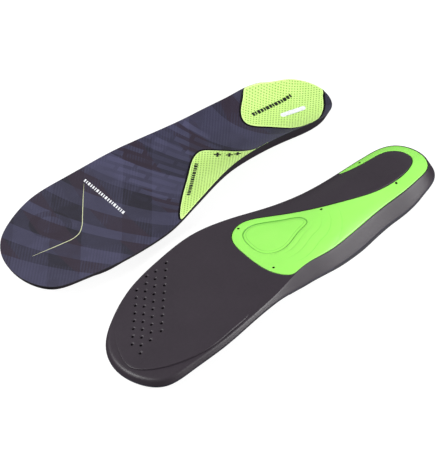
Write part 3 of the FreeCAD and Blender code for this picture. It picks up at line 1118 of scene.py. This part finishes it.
def shell_plastic():
    """Bright green moulded plastic with a satin face, with painted shade in the drop's groove and the flow
    grooves.
    """
    paint = Paint("green shell plastic", Specular_IOR_Level=0.4, Subsurface_Weight=0.08,
                  Subsurface_Radius=(0.002, 0.004, 0.001))
    cloud = paint.noise(0.025, 3)
    grain = paint.noise(0.0004, 2, 1.0)
    inward = paint.node("Attribute", {}, output="Fac", attribute_name="edge")
    # Painted shade: darker green on the drop groove's outer slope, at its foot and along the flow grooves.
    rise = paint.step(inward, -0.0001, TEAR_WIDTH * 0.12)
    shade = paint.product(rise, paint.step(inward, TEAR_WIDTH * 0.45, TEAR_WIDTH * 0.2))
    foot = paint.math("ABSOLUTE", paint.math("SUBTRACT", inward, TEAR_WIDTH))
    crease = paint.step(foot, TEAR_WIDTH * 0.15, 0)
    across, along = paint.plan()
    grooves = []
    for place, depth in FLOW_GROOVES:
        away = paint.math("ABSOLUTE", paint.math("ADD", inward, place))
        grooves.append((paint.step(away, FLOW_WIDTH * 0.6, 0), depth * FLOW_SHADE))
    flow = paint.product(paint.total(*grooves), paint.step(across, *FLOW_ACROSS),
                         paint.step(along, *FLOW_ALONG))
    shade = paint.total((shade, 1.0), (crease, CREASE_SHADE), (flow, 1.0))
    body = paint.mix(cloud, SHELL_DEEP, SHELL_PALE)
    paint.colour(paint.mix(paint.product(shade, GROOVE_SHADE), body, SHELL_SHADE))
    paint.roughness(paint.spread(grain, 0.34, 0.48))
    paint.relief(paint.total((grain, 1.0), (cloud, 0.6)), 0.00002)
    return paint.material


def ink(name, colour, worn):
    """Printed ink, a little uneven and worn."""
    paint = Paint(name, Specular_IOR_Level=0.3)
    wear = paint.noise(0.0007, 3)
    paint.colour(paint.mix(paint.step(wear, 0.55, 0.75), colour, worn))
    paint.roughness(paint.spread(wear, 0.45, 0.65))
    paint.relief(wear, 0.00002)
    return paint.material


# ---------------------------------------------------------------- putting pieces in place

def own_frame(points):
    """(across, along, height) points in the model's axes: x is across and y runs from toe to heel."""
    return np.column_stack([points[:, 0], LENGTH / 2 - points[:, 1], points[:, 2]])


def make_piece(name, patches, materials, turned_over, edge_outline=None):
    """One closed, welded mesh object. The left insole's pieces are mirrored in height."""
    mesh = bpy.data.meshes.new(name)
    build = bmesh.new()
    for points, faces, slot in patches:
        places = own_frame(points) * (1, 1, -1 if turned_over else 1)
        corners = [build.verts.new(place) for place in places]
        for face in faces:
            build.faces.new([corners[k] for k in face]).material_index = slot
    bmesh.ops.remove_doubles(build, verts=build.verts, dist=WELD)
    bmesh.ops.recalc_face_normals(build, faces=build.faces)
    for face in build.faces:
        face.smooth = True
    build.to_mesh(mesh)
    build.free()
    mesh.set_sharp_from_angle(angle=SHARP_ANGLE)
    places = np.array([vertex.co for vertex in mesh.vertices])
    plan = np.column_stack([places[:, 0], LENGTH / 2 - places[:, 1]])
    layer = mesh.uv_layers.new(name="plan")
    corners = np.array([loop.vertex_index for loop in mesh.loops])
    layer.data.foreach_set("uv", plan[corners].astype(np.float32).ravel())
    if edge_outline is not None:
        edge = mesh.attributes.new("edge", "FLOAT", "POINT")
        edge.data.foreach_set("value", edge_distance(plan, edge_outline).astype(np.float32))
    for material in materials:
        mesh.materials.append(material)
    piece = bpy.data.objects.new(name, mesh)
    bpy.context.scene.collection.objects.link(piece)
    return piece


def box_of(piece):
    """Lowest and highest corner of a mesh in its own axes."""
    places = np.array([vertex.co for vertex in piece.data.vertices])
    return places.min(axis=0), places.max(axis=0)


def settle(pieces, guide, node):
    """Moves pieces so that the guide piece lies where its CAD node does."""
    low, high = box_of(guide)
    cad_low, cad_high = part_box(node)
    middle = (cad_low + cad_high) / 2 - Vector((low + high) / 2)
    move = Matrix.Translation((middle.x, middle.y, cad_low.z - low[2]))
    for piece in pieces:
        piece.data.transform(move)

# ---------------------------------------------------------------- both insoles

fabric = knit_fabric()
edge_fabric = cut_edge()
mesh_material = mesh_fabric()
border = dark_patch_strip()
base_foam = moulded_foam("charcoal moulded foam", FOAM_DARK, FOAM_LIGHT, 0.42)
soft_foam = moulded_foam("soft cushion foam", CUSHION_DARK, CUSHION_LIGHT, 0.8)
green_plastic = shell_plastic()
light_ink = ink("light ink", INK_WHITE, WORN_WHITE)
dark_ink = ink("dark ink", INK_BLACK, WORN_BLACK)
line_ink = ink("line ink", INK_LINE, WORN_LINE)

heel_edge = patch_outline(HEEL_PATCH_PLAN)[:, :2]
arch_edge = patch_outline(ARCH_PATCH_PLAN)[:, :2]
tear_edge = closed_curve(TEAR_PLAN, OUTLINE_STEP)

# piece: (patches, materials, CAD node that it stands for, material slot, outline for the margin)
PIECES = {
    "knit_cover": (top_cover(), [fabric, edge_fabric], "top_cover", "cover_fabric", None),
    "heel_mesh": (patch(HEEL_PATCH_PLAN), [mesh_material, border], "heel_patch", "patch_mesh", heel_edge),
    "arch_mesh": (patch(ARCH_PATCH_PLAN), [mesh_material, border], "arch_patch", "patch_mesh", arch_edge),
    "cushion_foam": (cushion_layer(), [soft_foam], "cushion_layer", "cushion_foam", None),
    "moulded_base": (foam_base(), [base_foam], "foam_base", "base_foam", None),
    # The shell's second material, the dark foam, is painted shade on the walls of its holes.
    "green_shell": (arch_shell(), [green_plastic, base_foam], "arch_shell", "shell_plastic", tear_edge),
    "wedge_foam": (forefoot_wedge(), [base_foam], "forefoot_wedge", "base_foam", None),
    "cover_print": (cover_print(), [light_ink, line_ink], None, "cover_fabric", None),
    "patch_print": (patch_print(), [light_ink, dark_ink], None, "patch_mesh", None),
}


def build_insole(side, turned_over):
    """All pieces of one insole, in place and riding on its body."""
    pieces = {}
    for name, (patches, materials, node, slot, edge_outline) in PIECES.items():
        pieces[name] = make_piece(side + "_" + name, patches, materials, turned_over, edge_outline)
    if turned_over:
        roll, pitch, yaw = (math.radians(turn) for turn in LEFT_TURNS)
        turn = Matrix.Rotation(yaw, 4, "Z") @ Matrix.Rotation(pitch, 4, "X") @ Matrix.Rotation(roll, 4, "Y")
        for piece in pieces.values():
            piece.data.transform(turn)
    settle(pieces.values(), pieces["moulded_base"], side + "_foam_base")
    for name, (patches, materials, node, slot, edge_outline) in PIECES.items():
        piece = pieces[name]
        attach(piece, side + "_insole")
        if node:
            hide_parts(side + "_" + node)


build_insole("right", False)
build_insole("left", True)

# ---------------------------------------------------------------- floor, light and camera


def stage_piece(piece, name, glow):
    """Makes a piece of the studio white. It sends no light back to the insoles."""
    piece.name = name
    paint = Paint("white " + name, Roughness=0.95, Specular_IOR_Level=0.0)
    paint.shader.inputs["Base Color"].default_value = FLOOR_COLOUR
    paint.shader.inputs["Emission Color"].default_value = (1, 1, 1, 1)
    paint.shader.inputs["Emission Strength"].default_value = glow
    piece.data.materials.append(paint.material)
    piece.visible_diffuse = False
    piece.visible_glossy = False
    piece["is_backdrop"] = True


def make_studio():
    """Plain white floor with a round white wall far behind everything."""
    bpy.ops.mesh.primitive_plane_add(size=FLOOR_SIZE, location=(0, 0, -FLOOR_GAP))
    stage_piece(bpy.context.object, "floor", FLOOR_GLOW)
    bpy.ops.mesh.primitive_cylinder_add(radius=WALL_RADIUS, depth=WALL_HEIGHT, end_fill_type="NOTHING")
    wall = bpy.context.object
    wall.visible_shadow = False
    stage_piece(wall, "wall", WALL_GLOW)


def direction(azimuth, elevation):
    """Unit direction. Azimuth 0 is towards -Y and 90 is towards +X."""
    turn, rise = math.radians(azimuth), math.radians(elevation)
    return Vector((math.sin(turn) * math.cos(rise), -math.cos(turn) * math.cos(rise), math.sin(rise)))


def make_light(name, azimuth, elevation, distance, size, watts):
    """Square soft light that faces the origin."""
    light = bpy.data.lights.new(name, "AREA")
    light.size = size
    light.energy = watts
    lamp = bpy.data.objects.new(name, light)
    place = direction(azimuth, elevation) * distance
    lamp.location = place
    lamp.rotation_euler = (-place).to_track_quat("-Z", "Y").to_euler()
    bpy.context.scene.collection.objects.link(lamp)


def make_world():
    """White surroundings, darker below the horizon."""
    world = bpy.data.worlds.new("studio")
    world.use_nodes = True
    tree = world.node_tree
    place = tree.nodes.new("ShaderNodeTexCoord")
    split = tree.nodes.new("ShaderNodeSeparateXYZ")
    rise = tree.nodes.new("ShaderNodeMapRange")
    tree.links.new(place.outputs["Generated"], split.inputs[0])
    tree.links.new(split.outputs["Z"], rise.inputs["Value"])
    limits = (("From Min", -HORIZON), ("From Max", HORIZON), ("To Min", WORLD_BELOW), ("To Max", 1))
    for socket, value in limits:
        rise.inputs[socket].default_value = value
    tree.links.new(rise.outputs[0], tree.nodes["Background"].inputs["Color"])
    tree.nodes["Background"].inputs["Strength"].default_value = WORLD_STRENGTH
    bpy.context.scene.world = world


def make_camera():
    camera = bpy.data.cameras.new("camera")
    camera.lens = CAMERA_LENS
    camera.sensor_width = CAMERA_SENSOR
    camera.shift_x, camera.shift_y = CAMERA_SHIFT
    eye = bpy.data.objects.new("camera", camera)
    place = direction(CAMERA_AZIMUTH, CAMERA_ELEVATION) * CAMERA_DISTANCE
    eye.location = place
    eye.rotation_euler = (-place).to_track_quat("-Z", "Y").to_euler()
    bpy.context.scene.collection.objects.link(eye)
    bpy.context.scene.camera = eye


make_studio()
make_world()
for lamp in LAMPS:
    make_light(*lamp)
make_camera()
bpy.context.scene.view_settings.view_transform = "Standard"

boxes = {"cad": cad_box, "visual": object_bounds()}
{name: [list(corner) for corner in box] for name, box in boxes.items()}
